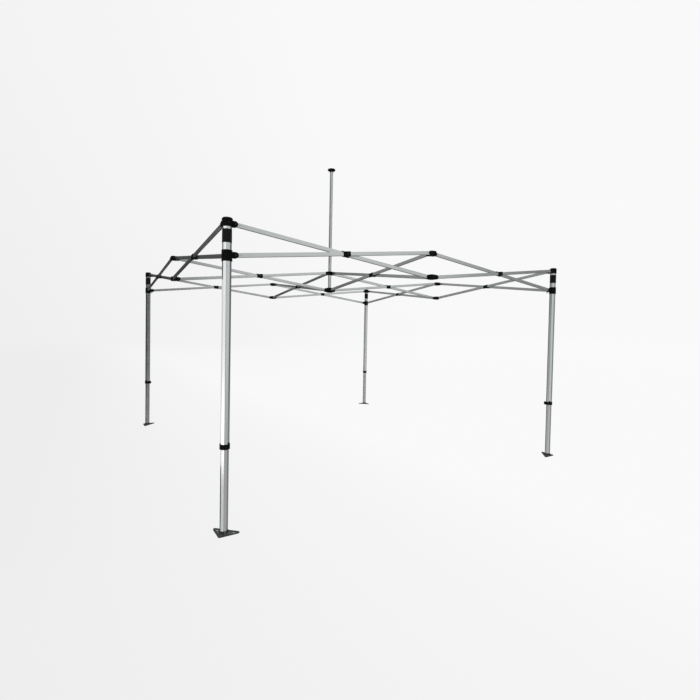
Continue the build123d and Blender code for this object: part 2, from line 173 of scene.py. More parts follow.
def node(tree, kind, inputs=None, **settings):
    """Add a shader node; an input is a value, or a socket to link from."""
    made = tree.nodes.new("ShaderNode" + kind)
    for key, value in settings.items():
        setattr(made, key, value)
    for key, value in (inputs or {}).items():
        if isinstance(value, bpy.types.NodeSocket):
            tree.links.new(value, made.inputs[key])
        else:
            made.inputs[key].default_value = value
    return made


def math(tree, operation, first, second=0.0):
    """Socket with the result of a math operation."""
    return node(tree, "Math", {0: first, 1: second}, operation=operation).outputs[0]


def limits(tree, value, low, high, to_low=0.0, to_high=1.0):
    """Socket with value mapped from low..high to to_low..to_high, clamped."""
    sockets = {"Value": value, "From Min": low, "From Max": high, "To Min": to_low, "To Max": to_high}
    return node(tree, "MapRange", sockets, clamp=True).outputs[0]


def noise(tree, coords, scale, detail=3.0, roughness=0.5, distortion=0.0):
    """Socket with a noise value between 0 and 1."""
    sockets = {"Vector": coords, "Scale": scale, "Detail": detail, "Roughness": roughness,
               "Distortion": distortion}
    return node(tree, "TexNoise", sockets).outputs["Fac"]


def hair_lines(tree, field, width):
    """Socket that is 1 on the thin lines where a noise field passes its middle value."""
    return limits(tree, math(tree, "ABSOLUTE", math(tree, "SUBTRACT", field, 0.5)), width, 0.0)


def blend_colour(tree, factor, first, second):
    """Socket with two colours mixed."""
    mix = node(tree, "Mix", data_type="RGBA")
    for socket, value in ((mix.inputs[0], factor), (mix.inputs[6], first), (mix.inputs[7], second)):
        if isinstance(value, bpy.types.NodeSocket):
            tree.links.new(value, socket)
        else:
            socket.default_value = value if socket.type == "VALUE" else (*value, 1.0)
    return mix.outputs[2]


def object_coords(tree, turn=(0, 0, 0), stretch=(1, 1, 1)):
    """Socket with object coordinates, turned and stretched."""
    coords = node(tree, "TexCoord").outputs["Object"]
    turned = node(tree, "Mapping", {"Vector": coords, "Rotation": turn}).outputs[0]
    return node(tree, "Mapping", {"Vector": turned, "Scale": stretch}).outputs[0]


def edge_mask(tree, radius, low, high):
    """Socket that is 1 along convex and concave edges and 0 on open faces."""
    rounded = node(tree, "Bevel", {"Radius": radius}, samples=4).outputs[0]
    true = node(tree, "NewGeometry").outputs["Normal"]
    along = node(tree, "VectorMath", {0: rounded, 1: true}, operation="DOT_PRODUCT").outputs["Value"]
    return limits(tree, along, high, low)


def start_material(name):
    """New node material: (material, tree, its Principled shader)."""
    material = bpy.data.materials.new(name)
    material.use_nodes = True
    tree = material.node_tree
    return material, tree, tree.nodes["Principled BSDF"]


def join(tree, shader, colour, roughness, height, bump_distance, strength=1.0):
    """Feed a Principled shader its colour, roughness and bump."""
    tree.links.new(colour, shader.inputs["Base Color"])
    tree.links.new(roughness, shader.inputs["Roughness"])
    bump = node(tree, "Bump", {"Height": height, "Distance": bump_distance, "Strength": strength})
    tree.links.new(bump.outputs[0], shader.inputs["Normal"])


# ======================= materials =======================

def aluminium(name, light, dark, rough, turn):
    """Extruded aluminium: draw lines along local X after the turn, handling marks and fine scratches."""
    material, tree, shader = start_material(name)
    shader.inputs["Metallic"].default_value = 1.0
    lines = noise(tree, object_coords(tree, turn, (1.2, 420, 420)), 1.0, 4.0, 0.65)
    wide_lines = noise(tree, object_coords(tree, turn, (0.5, 90, 90)), 1.0, 2.0)
    cloud = noise(tree, object_coords(tree), 7.0, 5.0, 0.6)
    scratch_field = noise(tree, object_coords(tree, turn, (26, 310, 170)), 1.0, 2.0, 0.5, 0.6)
    scratch = hair_lines(tree, scratch_field, 0.012)
    patches = limits(tree, noise(tree, object_coords(tree), 16.0, 3.0), 0.50, 0.62)
    scratch = math(tree, "MULTIPLY", scratch, patches)
    specks = limits(tree, noise(tree, object_coords(tree), 240.0, 2.0), 0.66, 0.74)
    edge = edge_mask(tree, 0.0012, 0.90, 0.995)
    tone = math(tree, "MULTIPLY", cloud, 0.45)
    tone = math(tree, "ADD", tone, math(tree, "MULTIPLY", lines, 0.35))
    tone = math(tree, "ADD", tone, math(tree, "MULTIPLY", wide_lines, 0.20))
    colour = blend_colour(tree, limits(tree, tone, 0.36, 0.64), dark, light)
    colour = blend_colour(tree, math(tree, "MULTIPLY", specks, 0.20), colour, (0.20, 0.20, 0.19))
    colour = blend_colour(tree, math(tree, "MULTIPLY", scratch, 0.30), colour, (0.86, 0.86, 0.85))
    colour = blend_colour(tree, math(tree, "MULTIPLY", edge, 0.30), colour, (0.80, 0.81, 0.80))
    roughness = limits(tree, tone, 0.32, 0.68, *rough)
    roughness = math(tree, "ADD", roughness, math(tree, "MULTIPLY", specks, 0.12))
    height = math(tree, "ADD", lines, math(tree, "MULTIPLY", wide_lines, 0.6))
    height = math(tree, "SUBTRACT", height, math(tree, "MULTIPLY", scratch, 0.5))
    join(tree, shader, colour, roughness, height, 0.00004, 0.35)
    return material


def plastic(name, tone, rough=(0.36, 0.56), wear=0.6):
    """Moulded black nylon with a spark-eroded grain, scuffs, and edges rubbed grey."""
    material, tree, shader = start_material(name)
    shader.inputs["Specular IOR Level"].default_value = 0.05
    coords = object_coords(tree)
    grain = noise(tree, coords, 1500.0, 2.0)
    mottle = noise(tree, coords, 42.0, 4.0, 0.6)
    scuff_field = noise(tree, object_coords(tree, (0.4, 0.9, 0.5), (40, 420, 180)), 1.0, 3.0, 0.5, 0.4)
    scuff = limits(tree, scuff_field, 0.63, 0.72)
    dust = limits(tree, noise(tree, coords, 130.0, 4.0, 0.7), 0.56, 0.80)
    edge = math(tree, "MULTIPLY", edge_mask(tree, 0.0010, 0.86, 0.99), limits(tree, mottle, 0.38, 0.60))
    dark, light = (tuple(scale * part for part in tone) for scale in (0.6, 1.5))
    colour = blend_colour(tree, mottle, dark, light)
    colour = blend_colour(tree, math(tree, "MULTIPLY", dust, 0.30), colour, (0.020, 0.019, 0.017))
    colour = blend_colour(tree, math(tree, "MULTIPLY", scuff, 0.35), colour, (0.030, 0.030, 0.032))
    colour = blend_colour(tree, math(tree, "MULTIPLY", edge, wear), colour, (0.042, 0.043, 0.046))
    roughness = limits(tree, mottle, 0.30, 0.70, *rough)
    roughness = math(tree, "ADD", roughness, math(tree, "MULTIPLY", dust, 0.10))
    height = math(tree, "ADD", grain, math(tree, "MULTIPLY", scuff, -0.6))
    join(tree, shader, colour, roughness, height, 0.00008)
    return material


def blackened_steel(name):
    """Bolts and nuts: black oxide, rubbed to bare steel on the corners."""
    material, tree, shader = start_material(name)
    shader.inputs["Metallic"].default_value = 0.9
    coords = object_coords(tree)
    mottle = noise(tree, coords, 260.0, 4.0, 0.6)
    turned = noise(tree, coords, 1900.0, 2.0)
    edge = math(tree, "MULTIPLY", edge_mask(tree, 0.0006, 0.80, 0.98), limits(tree, mottle, 0.35, 0.6))
    colour = blend_colour(tree, mottle, (0.020, 0.021, 0.023), (0.050, 0.050, 0.053))
    colour = blend_colour(tree, math(tree, "MULTIPLY", edge, 0.75), colour, (0.34, 0.33, 0.31))
    roughness = limits(tree, mottle, 0.3, 0.7, 0.30, 0.50)
    join(tree, shader, colour, roughness, turned, 0.00005)
    return material


def bright_metal(name):
    """Rivets and latch pins: plain zinc finish, finely turned."""
    material, tree, shader = start_material(name)
    shader.inputs["Metallic"].default_value = 1.0
    coords = object_coords(tree)
    mottle = noise(tree, coords, 420.0, 4.0, 0.6)
    fine = noise(tree, coords, 2400.0, 1.0)
    colour = blend_colour(tree, mottle, (0.46, 0.46, 0.45), (0.66, 0.66, 0.64))
    roughness = limits(tree, mottle, 0.3, 0.7, 0.24, 0.42)
    join(tree, shader, colour, roughness, fine, 0.00004)
    return material


def plate_steel(name):
    """Foot plates: dark grey paint over steel, worn through on rims, edges and where feet tread."""
    material, tree, shader = start_material(name)
    shader.inputs["Metallic"].default_value = 0.55
    coords = object_coords(tree)
    mottle = noise(tree, coords, 34.0, 6.0, 0.65)
    orange_peel = noise(tree, coords, 620.0, 2.0)
    chips = limits(tree, noise(tree, coords, 150.0, 5.0, 0.7), 0.60, 0.66)
    scratch_field = noise(tree, object_coords(tree, (0, 0, 0.7), (30, 600, 90)), 1.0, 2.0, 0.5, 0.5)
    scratch = hair_lines(tree, scratch_field, 0.018)
    edge = math(tree, "MULTIPLY", edge_mask(tree, 0.0014, 0.84, 0.99), limits(tree, mottle, 0.36, 0.58))
    colour = blend_colour(tree, mottle, (0.030, 0.034, 0.032), (0.075, 0.080, 0.076))
    bare = math(tree, "MAXIMUM", math(tree, "MULTIPLY", chips, 0.6), math(tree, "MULTIPLY", scratch, 0.5))
    bare = math(tree, "MAXIMUM", bare, math(tree, "MULTIPLY", edge, 0.55))
    colour = blend_colour(tree, bare, colour, (0.30, 0.30, 0.28))
    roughness = limits(tree, mottle, 0.3, 0.7, 0.38, 0.60)
    height = math(tree, "SUBTRACT", orange_peel, math(tree, "MULTIPLY", bare, 0.8))
    join(tree, shader, colour, roughness, height, 0.00012)
    return material


def painted_highlight_steel(name):
    """Recessed top of a foot plate: the same paint, with a painted highlight that makes it lighter grey
    in streaks like rub marks.
    """
    material, tree, shader = start_material(name)
    shader.inputs["Metallic"].default_value = 0.6
    coords = object_coords(tree)
    mottle = noise(tree, coords, 48.0, 6.0, 0.7)
    rub_and_highlight = noise(tree, object_coords(tree, (0, 0, 0.9), (24, 210, 40)), 1.0, 5.0, 0.6, 0.8)
    fine = noise(tree, coords, 700.0, 2.0)
    # Painted highlight: the lighter grey stands in for light that the plate's top face reflects; the
    # streaks and bumps are rub marks.
    tone = limits(tree, math(tree, "ADD", mottle, rub_and_highlight), 0.75, 1.25)
    colour = blend_colour(tree, tone, (0.060, 0.064, 0.062), (0.24, 0.25, 0.245))
    roughness = limits(tree, tone, 0.0, 1.0, 0.56, 0.40)
    join(tree, shader, colour, roughness, math(tree, "ADD", fine, rub_and_highlight), 0.00012)
    return material


def hook_and_loop(name):
    """Black hook-and-loop tape: a woven ground with a short ragged pile."""
    material, tree, shader = start_material(name)
    shader.inputs["Specular IOR Level"].default_value = 0.08
    shader.inputs["Sheen Weight"].default_value = 0.06
    shader.inputs["Sheen Roughness"].default_value = 0.6
    coords = object_coords(tree)
    pile = noise(tree, coords, 900.0, 3.0, 0.7)
    ribs = node(tree, "TexWave", {"Vector": coords, "Scale": 190.0, "Distortion": 1.2, "Detail": 2.0},
                wave_type="BANDS", bands_direction="Z").outputs["Fac"]
    lint = limits(tree, noise(tree, coords, 380.0, 4.0, 0.75), 0.64, 0.76)
    colour = blend_colour(tree, pile, (0.003, 0.003, 0.003), (0.012, 0.012, 0.013))
    colour = blend_colour(tree, math(tree, "MULTIPLY", lint, 0.4), colour, (0.040, 0.040, 0.040))
    roughness = limits(tree, pile, 0.2, 0.8, 0.80, 0.98)
    height = math(tree, "ADD", pile, math(tree, "MULTIPLY", ribs, 0.5))
    join(tree, shader, colour, roughness, height, 0.0004)
    return material


def thread(name):
    """Twisted black sewing thread."""
    material, tree, shader = start_material(name)
    shader.inputs["Specular IOR Level"].default_value = 0.25
    coords = object_coords(tree)
    twist = node(tree, "TexWave", {"Vector": coords, "Scale": 900.0, "Distortion": 0.6},
                 wave_type="BANDS", bands_direction="DIAGONAL").outputs["Fac"]
    colour = blend_colour(tree, twist, (0.012, 0.012, 0.013), (0.035, 0.035, 0.036))
    roughness = limits(tree, twist, 0.0, 1.0, 0.55, 0.75)
    join(tree, shader, colour, roughness, twist, 0.0001)
    return material


# ======================= light, floor and camera =======================

def studio_panels(tree, compass, panels):
    """Socket with the brightness of soft upright panels at a compass angle."""
    level = 0.0
    for middle, half_width, fade, brightness in panels:
        away = math(tree, "ABSOLUTE", math(tree, "SUBTRACT", compass, middle))
        away = math(tree, "MINIMUM", away, math(tree, "SUBTRACT", 360.0, away))
        panel = limits(tree, away, half_width + fade, half_width, 0.0, brightness)
        level = math(tree, "MAXIMUM", level, panel)
    return level


def world_light():
    """Plain studio: near white all round as seen, with painted shade darker towards -X and low down, and
    dim with soft panels as light for the metal.
    """
    world = bpy.data.worlds.new("studio")
    bpy.context.scene.world = world
    world.use_nodes = True
    tree = world.node_tree
    tree.nodes.clear()
    direction = node(tree, "TexCoord").outputs["Generated"]
    x, y, z = node(tree, "SeparateXYZ", {"Vector": direction}).outputs
    compass = math(tree, "DEGREES", math(tree, "ARCTAN2", y, x))
    compass = math(tree, "FLOORED_MODULO", compass, 360.0)
    overhead = math(tree, "ADD", limits(tree, z, 0.10, 0.90, 0.0, 0.50), 0.05)
    level = math(tree, "MAXIMUM", overhead, studio_panels(tree, compass, PANELS))
    low = math(tree, "MAXIMUM", studio_panels(tree, compass, LOW_PANELS), 0.06)
    level = node(tree, "Mix", {0: limits(tree, z, -0.11, -0.19), 2: level, 3: low}).outputs[0]
    light = node(tree, "Background", {"Color": (0.97, 1.0, 1.0, 1.0), "Strength": level}).outputs[0]
    # Painted shade: the backdrop as the camera sees it is darker towards -X and low down.
    painted_backdrop_shade = limits(tree, math(tree, "ADD", x, math(tree, "MULTIPLY", z, 0.6)), -0.30, 0.72, 0.845, 0.947)
    seen = node(tree, "Background", {"Color": (1.0, 1.0, 1.0, 1.0), "Strength": painted_backdrop_shade}).outputs[0]
    ray = node(tree, "LightPath").outputs["Is Camera Ray"]
    mixed = node(tree, "MixShader", {0: ray, 1: light, 2: seen}).outputs[0]
    output = node(tree, "OutputWorld")
    tree.links.new(mixed, output.inputs["Surface"])


def soft_box(name, place, target, width, height, power):
    """Rectangular soft light aimed at a point."""
    data = bpy.data.lights.new(name, "AREA")
    data.shape = "RECTANGLE"
    data.size = width
    data.size_y = height
    data.energy = power
    lamp = bpy.data.objects.new(name, data)
    bpy.context.scene.collection.objects.link(lamp)
    lamp.location = place
    lamp.rotation_euler = (Vector(target) - Vector(place)).to_track_quat("-Z", "Y").to_euler()
    lamp.visible_camera = False


def floor():
    """Wide pale floor that glows by itself, with painted shade darker towards -X, and takes only faint
    shadows.
    """
    mesh = bpy.data.meshes.new("floor")
    bm = bmesh.new()
    bmesh.ops.create_circle(bm, cap_ends=True, segments=96, radius=60.0)
    bm.to_mesh(mesh)
    bm.free()
    obj = bpy.data.objects.new("floor", mesh)
    bpy.context.scene.collection.objects.link(obj)
    obj.location.z = -0.0005
    material = bpy.data.materials.new("floor_paper")
    material.use_nodes = True
    tree = material.node_tree
    tree.nodes.clear()
    coords = node(tree, "TexCoord").outputs["Object"]
    x = node(tree, "SeparateXYZ", {"Vector": coords}).outputs[0]
    distance = node(tree, "VectorMath", {0: coords}, operation="LENGTH").outputs["Value"]
    # Painted light and shade: the floor's own glow is darker towards -X, near the frame and in that
    # direction far out, and meets the backdrop's tone at the horizon.
    near = limits(tree, x, -2.4, 0.4, 0.838, 0.937)
    far = limits(tree, math(tree, "DIVIDE", x, distance), -0.30, 0.72, 0.841, 0.943)
    painted_glow = node(tree, "Mix", {0: limits(tree, distance, 3.0, 25.0), 2: near, 3: far}).outputs[0]
    emission = node(tree, "Emission", {"Strength": painted_glow}).outputs[0]
    fibres = noise(tree, coords, 30.0, 4.0)
    paper = blend_colour(tree, fibres, (0.018, 0.018, 0.018), (0.022, 0.022, 0.022))
    diffuse = node(tree, "BsdfDiffuse", {"Color": paper}).outputs[0]
    surface = node(tree, "AddShader", {0: emission, 1: diffuse}).outputs[0]
    output = node(tree, "OutputMaterial")
    tree.links.new(surface, output.inputs["Surface"])
    mesh.materials.append(material)
    obj.visible_glossy = False


def camera():
    """Camera at eye level in front of the front left leg, a little rolled."""
    yaw, pitch, roll = radians(CAMERA_YAW), radians(CAMERA_PITCH), radians(CAMERA_ROLL)
    forward = Vector((cos(yaw) * cos(pitch), sin(yaw) * cos(pitch), sin(pitch)))
    right = Vector((sin(yaw), -cos(yaw), 0.0))
    up = right.cross(forward)
    x_axis = right * cos(roll) + up * sin(roll)
    y_axis = up * cos(roll) - right * sin(roll)
    data = bpy.data.cameras.new("camera")
    data.sensor_width = 36.0
    data.lens = CAMERA_LENS
    data.shift_y = CAMERA_SHIFT
    data.clip_start = 0.05
    obj = bpy.data.objects.new("camera", data)
    bpy.context.scene.collection.objects.link(obj)
    matrix = Matrix((x_axis, y_axis, -forward)).transposed().to_4x4()
    matrix.translation = CAMERA_PLACE
    obj.matrix_world = matrix
    bpy.context.scene.camera = obj


# ======================= the CAD nodes =======================

def corner_place(turns):
    """Matrix from a leg axis at the origin to a corner of the frame."""
    return Matrix.Rotation(turns * pi / 2, 4, "Z") @ Matrix.Translation((-HALF, -HALF, 0.0))


def octagon_reach(x, y):
    """Half the width over flats of the octagon round the origin that passes through a point."""
    return max(abs(x), abs(y), abs(x + y) / sqrt(2), abs(x - y) / sqrt(2))


def bar_places():
    """Bar name: (middle, direction along, out from its partner, upright, half the span)."""
    places = {}
    joints = frame["joints"]
    for cross in joints:
        if not cross["name"].endswith("_cross_turn"):
            continue
        entry = next(joint for joint in joints if joint["child"] == cross["parent"])
        across = Vector(cross["axis"])
        middle = Vector(cross["pos_m"])
        reach = Vector(entry["pos_m"]) - middle
        offset = across * reach.dot(across)
        along = (reach - offset).normalized()
        mirrored = Vector((along.x, along.y, -along.z))
        half = (reach - offset).length
        out = offset.normalized()
        places[cross["parent"]] = (middle + offset, along, out, along.cross(out), half)
        places[cross["child"]] = (middle - offset, mirrored, -out, mirrored.cross(-out), half)
    return places


def paint(obj, materials, choose=lambda centre: 0):
    """Give each face of an object the material that choose(centre) numbers, or the first one."""
    mesh = obj.data
    mesh.materials.clear()
    for material in materials:
        mesh.materials.append(material)
    for polygon in mesh.polygons:
        polygon.material_index = choose(polygon.center)


def soften(obj):
    """Join the flat triangles of a CAD node, round its hard edges a little and shade it smoothly."""
    weld = obj.modifiers.new("weld", "WELD")
    weld.merge_threshold = 0.00001
    flat = obj.modifiers.new("flat", "DECIMATE")
    flat.decimate_type = "DISSOLVE"
    flat.angle_limit = radians(0.5)
    flat.delimit = {"MATERIAL"}
    bevel = obj.modifiers.new("round", "BEVEL")
    bevel.width = EDGE_ROUND
    bevel.segments = 2
    bevel.limit_method = "ANGLE"
    bevel.angle_limit = radians(35)
    bevel.use_clamp_overlap = True
    # Parts that touch share welded corners; split, none of their faces shades with a neighbour's normal.
    split = obj.modifiers.new("split", "EDGE_SPLIT")
    split.split_angle = radians(60)
    normals = obj.modifiers.new("normals", "WEIGHTED_NORMAL")
    normals.keep_sharp = True


def finish_bar(name, place):
    """Bar node: tube, plastic cuff and plugs, black bolts, bright rivets."""
    middle, along, across, up, half = place

    def choose(centre):
        local = centre - middle
        x, y, z = local.dot(along), local.dot(across), local.dot(up)
        outside = abs(y) > BAR_THICK / 2 + SKIN or abs(z) > BAR_HIGH / 2 + SKIN
        if outside and hypot(abs(x) - half, z) < BOLT_REACH:
            return 2
        if abs(y) > CUFF_THICK / 2 + SKIN and hypot(x, z) < BOLT_REACH:
            return 2
        if outside and hypot(abs(x) - half + RIVET_FROM_PIVOT, z) < RIVET_HEAD + SKIN:
            return 3
        if outside and abs(x) < CUFF_LENGTH / 2 + SKIN:
            return 1
        if abs(x) > half + TUBE_PAST_PIVOT - SKIN:
            return 1
        return 0

    key = (round(along.x, 3), round(along.y, 3), round(along.z, 3))
    if key not in BAR_METALS:
        # Turns the bar's own direction onto X, where the draw lines of the metal run.
        turn = Matrix((along, across, along.cross(across))).to_euler()
        BAR_METALS[key] = aluminium(f"bar_aluminium_{len(BAR_METALS)}", (0.71, 0.725, 0.71),
                                    (0.60, 0.615, 0.60), (0.20, 0.30), tuple(turn))
    paint(frame["nodes"][name], [BAR_METALS[key], CUFF_PLASTIC, BOLT_STEEL, BRIGHT_METAL], choose)


def finish_corner(turns):
    """Leg and latch nodes of one corner."""
    corner = CORNERS[turns]
    to_local = corner_place(turns).inverted()

    def outer(centre):
        x, y, z = to_local @ centre
        reach = octagon_reach(x, y)
        if z < LEG_BOTTOM or (reach > LEG_FLATS / 2 + SKIN and z < COLLAR_TOP + SKIN):
            return 1
        return 2 if reach > LEG_FLATS / 2 + SKIN else 0

    def inner(centre):
        x, y, z = to_local @ centre
        on_socket = octagon_reach(x, y) > INNER_FLATS / 2 + SKIN and z < SOCKET_TOP + SKIN
        if not on_socket and z >= PLATE_TOP + SKIN:
            return 0
        # Material 2, on the plate's top face, is lighter grey with a painted highlight.
        return 2 if abs(z - PLATE_POCKET_TOP) < SKIN else 1

    def latch(centre):
        return 1 if (to_local @ centre).dot(INWARDS) < LATCH_BOSS_OUT else 0

    nodes = frame["nodes"]
    paint(nodes[f"{corner}_outer_leg"], [LEG_METAL, CONNECTOR_PLASTIC, BAND_FABRIC], outer)
    paint(nodes[f"{corner}_inner_leg"], [INNER_METAL, PLATE_STEEL, PAINTED_HIGHLIGHT_STEEL], inner)
    for latch_name in ("slider_latch", "collar_latch"):
        paint(nodes[f"{corner}_{latch_name}"], [LATCH_PLASTIC, BRIGHT_METAL], latch)


def finish_cad():
    """Materials and soft edges on every CAD node."""
    for name, place in bar_places().items():
        finish_bar(name, place)
    for turns in range(4):
        finish_corner(turns)
    for name, obj in frame["nodes"].items():
        if name.endswith(("_bracket", "_slider", "_connector", "_hub")):
            paint(obj, [CONNECTOR_PLASTIC])
    paint(frame["nodes"]["centre_pole"], [POLE_METAL])
    paint(frame["nodes"]["pole_cap"], [CAP_PLASTIC])
    for obj in frame["nodes"].values():
        soften(obj)


# ======================= small pieces that ride on the bodies =======================

def skin(bm, loops, place=Matrix(), wrap=False):
    """Add a surface over loops of equally many points, capped at its ends or wrapped to its start."""
    rows = [[bm.verts.new(place @ Vector(point)) for point in loop] for loop in loops]
    pairs = list(zip(rows, rows[1:]))
    if wrap:
        pairs.append((rows[-1], rows[0]))
    else:
        bm.faces.new(rows[0])
        bm.faces.new(rows[-1])
    for first, second in pairs:
        for index in range(len(first)):
            after = (index + 1) % len(first)
            bm.faces.new((first[index], first[after], second[after], second[index]))


def piece(name, bm, material, body, place=Matrix()):
    """Make an object of a mesh in the place's own frame, and let it ride on a body."""
    bmesh.ops.recalc_face_normals(bm, faces=bm.faces)
    mesh = bpy.data.meshes.new(name)
    bm.to_mesh(mesh)
    bm.free()
    mesh.materials.append(material)
    for polygon in mesh.polygons:
        polygon.use_smooth = True
    mesh.set_sharp_from_angle(angle=radians(42))
    obj = bpy.data.objects.new(name, mesh)
    bpy.context.scene.collection.objects.link(obj)
    obj.matrix_world = place
    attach(obj, body)


def facing(origin, outward, up=Z_AXIS):
    """Matrix with +Z along outward and +Y along up."""
    matrix = Matrix((up.cross(outward), up, outward)).transposed().to_4x4()
    matrix.translation = origin
    return matrix


def on_flat(angle, flats, z):
    """Matrix on a flat of an octagon about the origin, +Z outwards."""
    outward = Vector((cos(radians(angle)), sin(radians(angle)), 0.0))
    return facing(outward * flats / 2 + Vector((0, 0, z)), outward)


def octagon_loop(flats, edge, z, steps=5):
    """Loop round an octagon with round corners."""
    centre = (flats / 2 - edge) / cos(pi / 8)
    points = []
    for corner in range(8):
        angle = pi / 8 + corner * pi / 4
        for step in range(steps):
            turn = angle + (step / (steps - 1) - 0.5) * pi / 4
            x = centre * cos(angle) + edge * cos(turn)
            y = centre * sin(angle) + edge * sin(turn)
            points.append((x, y, z))
    return points


def circle_loop(radius, z, sides=0, count=36):
    """Loop round a circle, or round a polygon when sides are given."""
    points = []
    for step in range(count):
        turn = 2 * pi * step / count
        reach = radius
        if sides:
            reach *= cos(pi / sides) / cos(turn % (2 * pi / sides) - pi / sides)
        points.append((reach * cos(turn), reach * sin(turn), z))
    return points


def stadium_loop(long, wide, z, steps=7):
    """Loop with two straight sides along X and two round ends."""
    points = []
    for end in (1, -1):
        for step in range(steps):
            turn = (step / (steps - 1) - 0.5) * pi * end
            x = end * ((long - wide) / 2 + wide / 2 * cos(turn))
            points.append((x, wide / 2 * sin(turn), z))
    return points


def octagon_bead(bm, flats, edge, z, wide, rise):
    """Add a half-round bead round an octagon."""
    loops = [octagon_loop(flats - 2 * SUNK, edge, z - wide / 2)]
    for step in range(7):
        turn = pi * step / 6
        out = rise * sin(turn)
        loops.append(octagon_loop(flats + 2 * out, edge + out, z - wide / 2 * cos(turn)))
    loops.append(octagon_loop(flats - 2 * SUNK, edge, z + wide / 2))
    skin(bm, loops, wrap=True)


def raised_ring(bm, inner, outer, rise, place=Matrix()):
    """Add a flat-topped round ring that stands on the plane z = 0."""
    soft = (outer - inner) * 0.22
    loops = [circle_loop(outer, -SUNK), circle_loop(outer, 0.55 * rise), circle_loop(outer - soft, rise),
             circle_loop(inner + soft, rise), circle_loop(inner, 0.55 * rise), circle_loop(inner, -SUNK)]
    skin(bm, loops, place, wrap=True)


def ridge(bm, long, wide, rise, place):
    """Add a low ridge with round ends and a crowned top, along X on the plane z = 0."""
    loops = [stadium_loop(long, wide, -SUNK), stadium_loop(long, wide, 0.5 * rise),
             stadium_loop(long - 0.25 * wide, 0.75 * wide, 0.88 * rise),
             stadium_loop(long - 0.6 * wide, 0.4 * wide, rise)]
    skin(bm, loops, place)


def screw(bm, radius, rise, place):
    """Add a pan head with a hexagonal socket on the plane z = 0."""
    loops = [circle_loop(radius, -SUNK), circle_loop(radius, 0.45 * rise),
             circle_loop(0.93 * radius, 0.76 * rise), circle_loop(0.74 * radius, 0.96 * rise),
             circle_loop(0.55 * radius, rise), circle_loop(0.48 * radius, rise, 6),
             circle_loop(0.46 * radius, 0.3 * rise, 6)]
    skin(bm, loops, place)


def ear_rings(bm, pivot, along, across):
    """Add a raised ring round the bolt on both outer faces of a pair of ears."""
    for side in (1, -1):
        place = facing(pivot + across * side * EAR_OUTSIDE, across * side, along)
        raised_ring(bm, RING_INSIDE, RING_OUTSIDE, 0.0007, place)


def band_point(angle, flats):
    """Point round the band at an angle, on the flats of an octagon."""
    off_flat = (angle + 22.5) % 45.0 - 22.5
    reach = flats / 2 / cos(radians(off_flat))
    return reach * cos(radians(angle)), reach * sin(radians(angle))


def band_flap(bm, first, last):
    """Add the outer layer of the band: a thin strip with a round end, between two angles."""
    middle = (BAND_BOTTOM + BAND_TOP) / 2
    edge = ((BAND_FLATS - SUNK, 0.0), (BAND_FLATS + 0.0010, 0.0), (FLAP_OUTSIDE, 0.0007))
    steps = 60
    loops = []
    for step in range(steps + 1):
        part = 1 - (1 - step / steps) ** 1.6
        angle = first + (last - first) * part
        left = radians(last - angle) * BAND_FLATS / 2 + 0.0004
        into = max(0.0, FLAP_END_ROUND - left)
        half = FLAP_HALF_HIGH - FLAP_END_ROUND + sqrt(FLAP_END_ROUND ** 2 - into ** 2)
        lower = [(*band_point(angle, flats), middle - half + shrink) for flats, shrink in edge]
        upper = [(*band_point(angle, flats), middle + half - shrink) for flats, shrink in reversed(edge)]
        loops.append(lower + upper)
    skin(bm, loops)


def band_stitches(bm, first, last):
    """Add two rows of stitches along the flap and one row up it."""
    middle = (BAND_BOTTOM + BAND_TOP) / 2
    row = FLAP_HALF_HIGH - 0.0035
    places = [(angle, side * row, 0.0) for angle in range(first, last, 10) for side in (-1, 1)]
    places += [(first, height * 0.0052, 90.0) for height in range(-5, 6)]
    for angle, height, turn in places:
        flat = radians(round(angle / 45.0) * 45.0)
        x, y = band_point(angle, FLAP_OUTSIDE)
        place = facing(Vector((x, y, middle + height)), Vector((cos(flat), sin(flat), 0.0)))
        lean = random.uniform(-6.0, 6.0)
        ridge(bm, 0.0034, 0.0009, 0.0004, place @ Matrix.Rotation(radians(turn + lean), 4, "Z"))


def weld_bead(bm):
    """Add the rippled weld between the socket and the foot plate."""
    # Out from the socket, up from the plate, and how much of the ripple.
    section = ((0.0, -SUNK, 0.0), (0.0028, 0.0, 0.5), (0.0022, 0.0014, 1.0), (0.0010, 0.0024, 1.0),
               (-SUNK, 0.0028, 0.0))
    loops = []
    for reach, rise, ripple in section:
        loop = []
        outline = octagon_loop(SOCKET_FLATS + 2 * reach, 0.003 + reach, PLATE_POCKET_TOP + rise, 14)
        for index, (x, y, height) in enumerate(outline):
            swell = 1 + ripple * (0.014 * sin(index * 1.9) + random.uniform(-0.005, 0.005))
            loop.append((x * swell, y * swell, height))
        loops.append(loop)
    skin(bm, loops, wrap=True)


def tab_ribs(name, corner, place, first):
    """Grip ribs across the finger tab of a latch."""
    bm = bmesh.new()
    for rib in range(5):
        height = first + TAB_RIB_PITCH * rib
        ridge(bm, 0.0105, 0.0018, 0.0009, Matrix.Translation((0.0, height, 0.0)))
    piece(f"{corner}_{name}_ribs", bm, LATCH_PLASTIC, f"{corner}_{name}", place)


